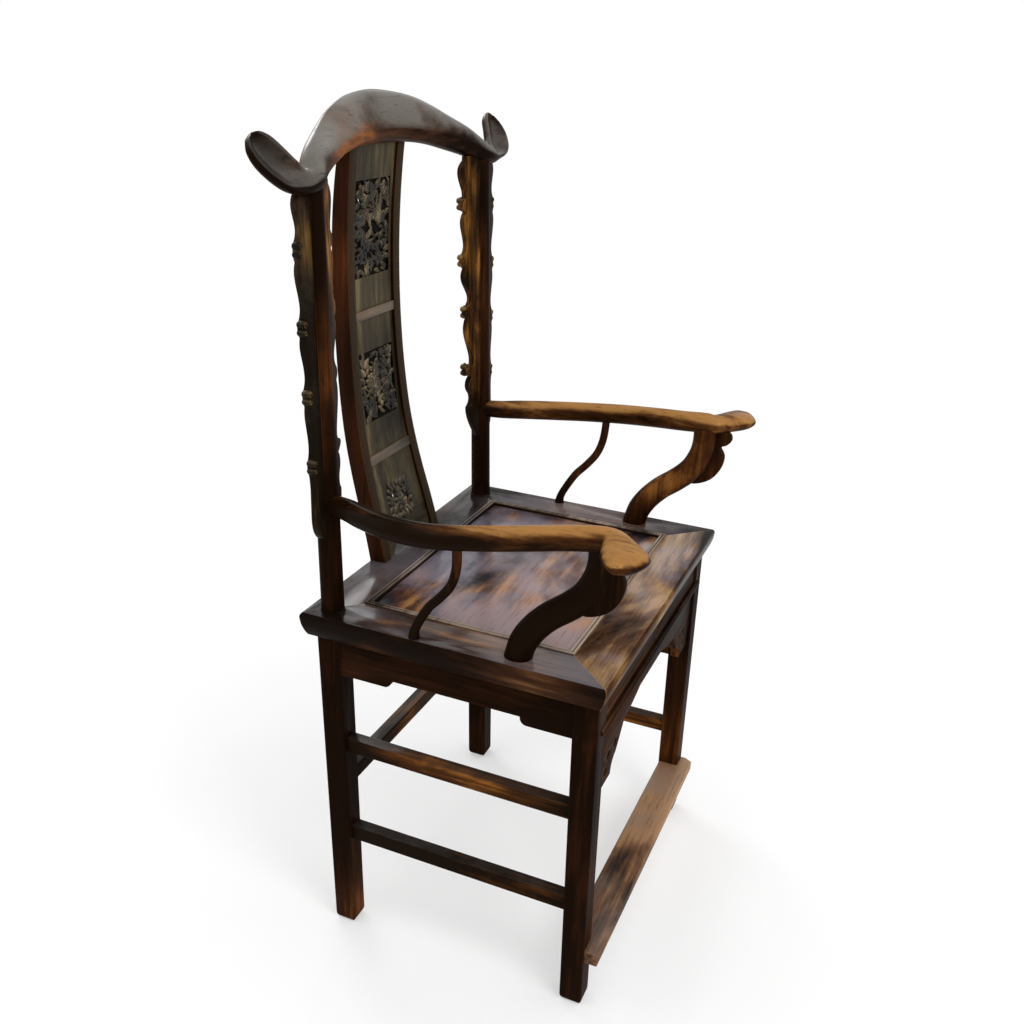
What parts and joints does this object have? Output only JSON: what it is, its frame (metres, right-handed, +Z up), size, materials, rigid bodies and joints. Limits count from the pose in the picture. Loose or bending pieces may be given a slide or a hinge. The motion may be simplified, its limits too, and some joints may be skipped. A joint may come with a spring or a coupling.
{
  "type": "yoke-back armchair",
  "caption": "Chinese yoke-back wooden armchair with a curved carved splat, bowed arms, framed seat and footrest.",
  "frame": {"origin": "on the floor under the middle of the whole chair's box", "axes": "+Z up, -Y towards the front of the seat, +X towards the sitter's left hand"},
  "size_m": [0.7034, 0.5522, 1.203],
  "materials": {
    "crest_lacquer": "semi-gloss lacquer, grey-brown with worn orange arrises",
    "frame_lacquer": "near-black brown lacquer over orange-brown wood",
    "arm_lacquer": "lacquer worn through to golden wood on top",
    "strip_lacquer": "carved strips with golden worn edges",
    "splat_frame_lacquer": "deep red-brown lacquer",
    "splat_board_lacquer": "grey-brown carved boards",
    "seat_lacquer": "worn lacquer with a grey sheen",
    "seat_board_lacquer": "patchy worn lacquer, blue-grey sheen and tan patches",
    "front_board_lacquer": "dark carved boards with a lighter rail",
    "rail_lacquer": "dark rails worn orange-brown on their arrises",
    "footrest_wood": "worn bare wood with traces of lacquer"
  },
  "bodies": {
    "root": {"arm_left": "arm_lacquer", "arm_right": "arm_lacquer", "back_apron": "frame_lacquer", "back_stretcher": "rail_lacquer", "crest_rail": "crest_lacquer", "ear_board_left": "frame_lacquer", "ear_board_right": "frame_lacquer", "footrest": "footrest_wood", "front_apron": "front_board_lacquer", "front_bracket_left": "front_board_lacquer", "front_bracket_right": "front_board_lacquer", "front_frieze": "front_board_lacquer", "front_leg_left": "frame_lacquer", "front_leg_right": "frame_lacquer", "front_moulding": "front_board_lacquer", "gooseneck_post_left": "frame_lacquer", "gooseneck_post_right": "frame_lacquer", "inner_post_strip_left": "strip_lacquer", "inner_post_strip_right": "strip_lacquer", "lower_stretcher_left": "rail_lacquer", "lower_stretcher_right": "rail_lacquer", "mid_post_left": "frame_lacquer", "mid_post_right": "frame_lacquer", "outer_post_strip_left": "strip_lacquer", "outer_post_strip_right": "strip_lacquer", "rear_leg_left": "frame_lacquer", "rear_leg_right": "frame_lacquer", "seat_batten_left": "frame_lacquer", "seat_batten_right": "frame_lacquer", "seat_frame_back": "seat_lacquer", "seat_frame_front": "seat_lacquer", "seat_frame_left": "seat_lacquer", "seat_frame_right": "seat_lacquer", "seat_panel": "seat_board_lacquer", "side_apron_left": "frame_lacquer", "side_apron_right": "frame_lacquer", "splat_foot_spandrel": "splat_board_lacquer", "splat_lower_bar": "splat_frame_lacquer", "splat_lower_panel": "splat_board_lacquer", "splat_middle_panel": "splat_board_lacquer", "splat_stile_left": "splat_frame_lacquer", "splat_stile_right": "splat_frame_lacquer", "splat_upper_bar": "splat_frame_lacquer", "splat_upper_panel": "splat_board_lacquer", "upper_stretcher_left": "rail_lacquer", "upper_stretcher_right": "rail_lacquer"}
  },
  "joints": []
}
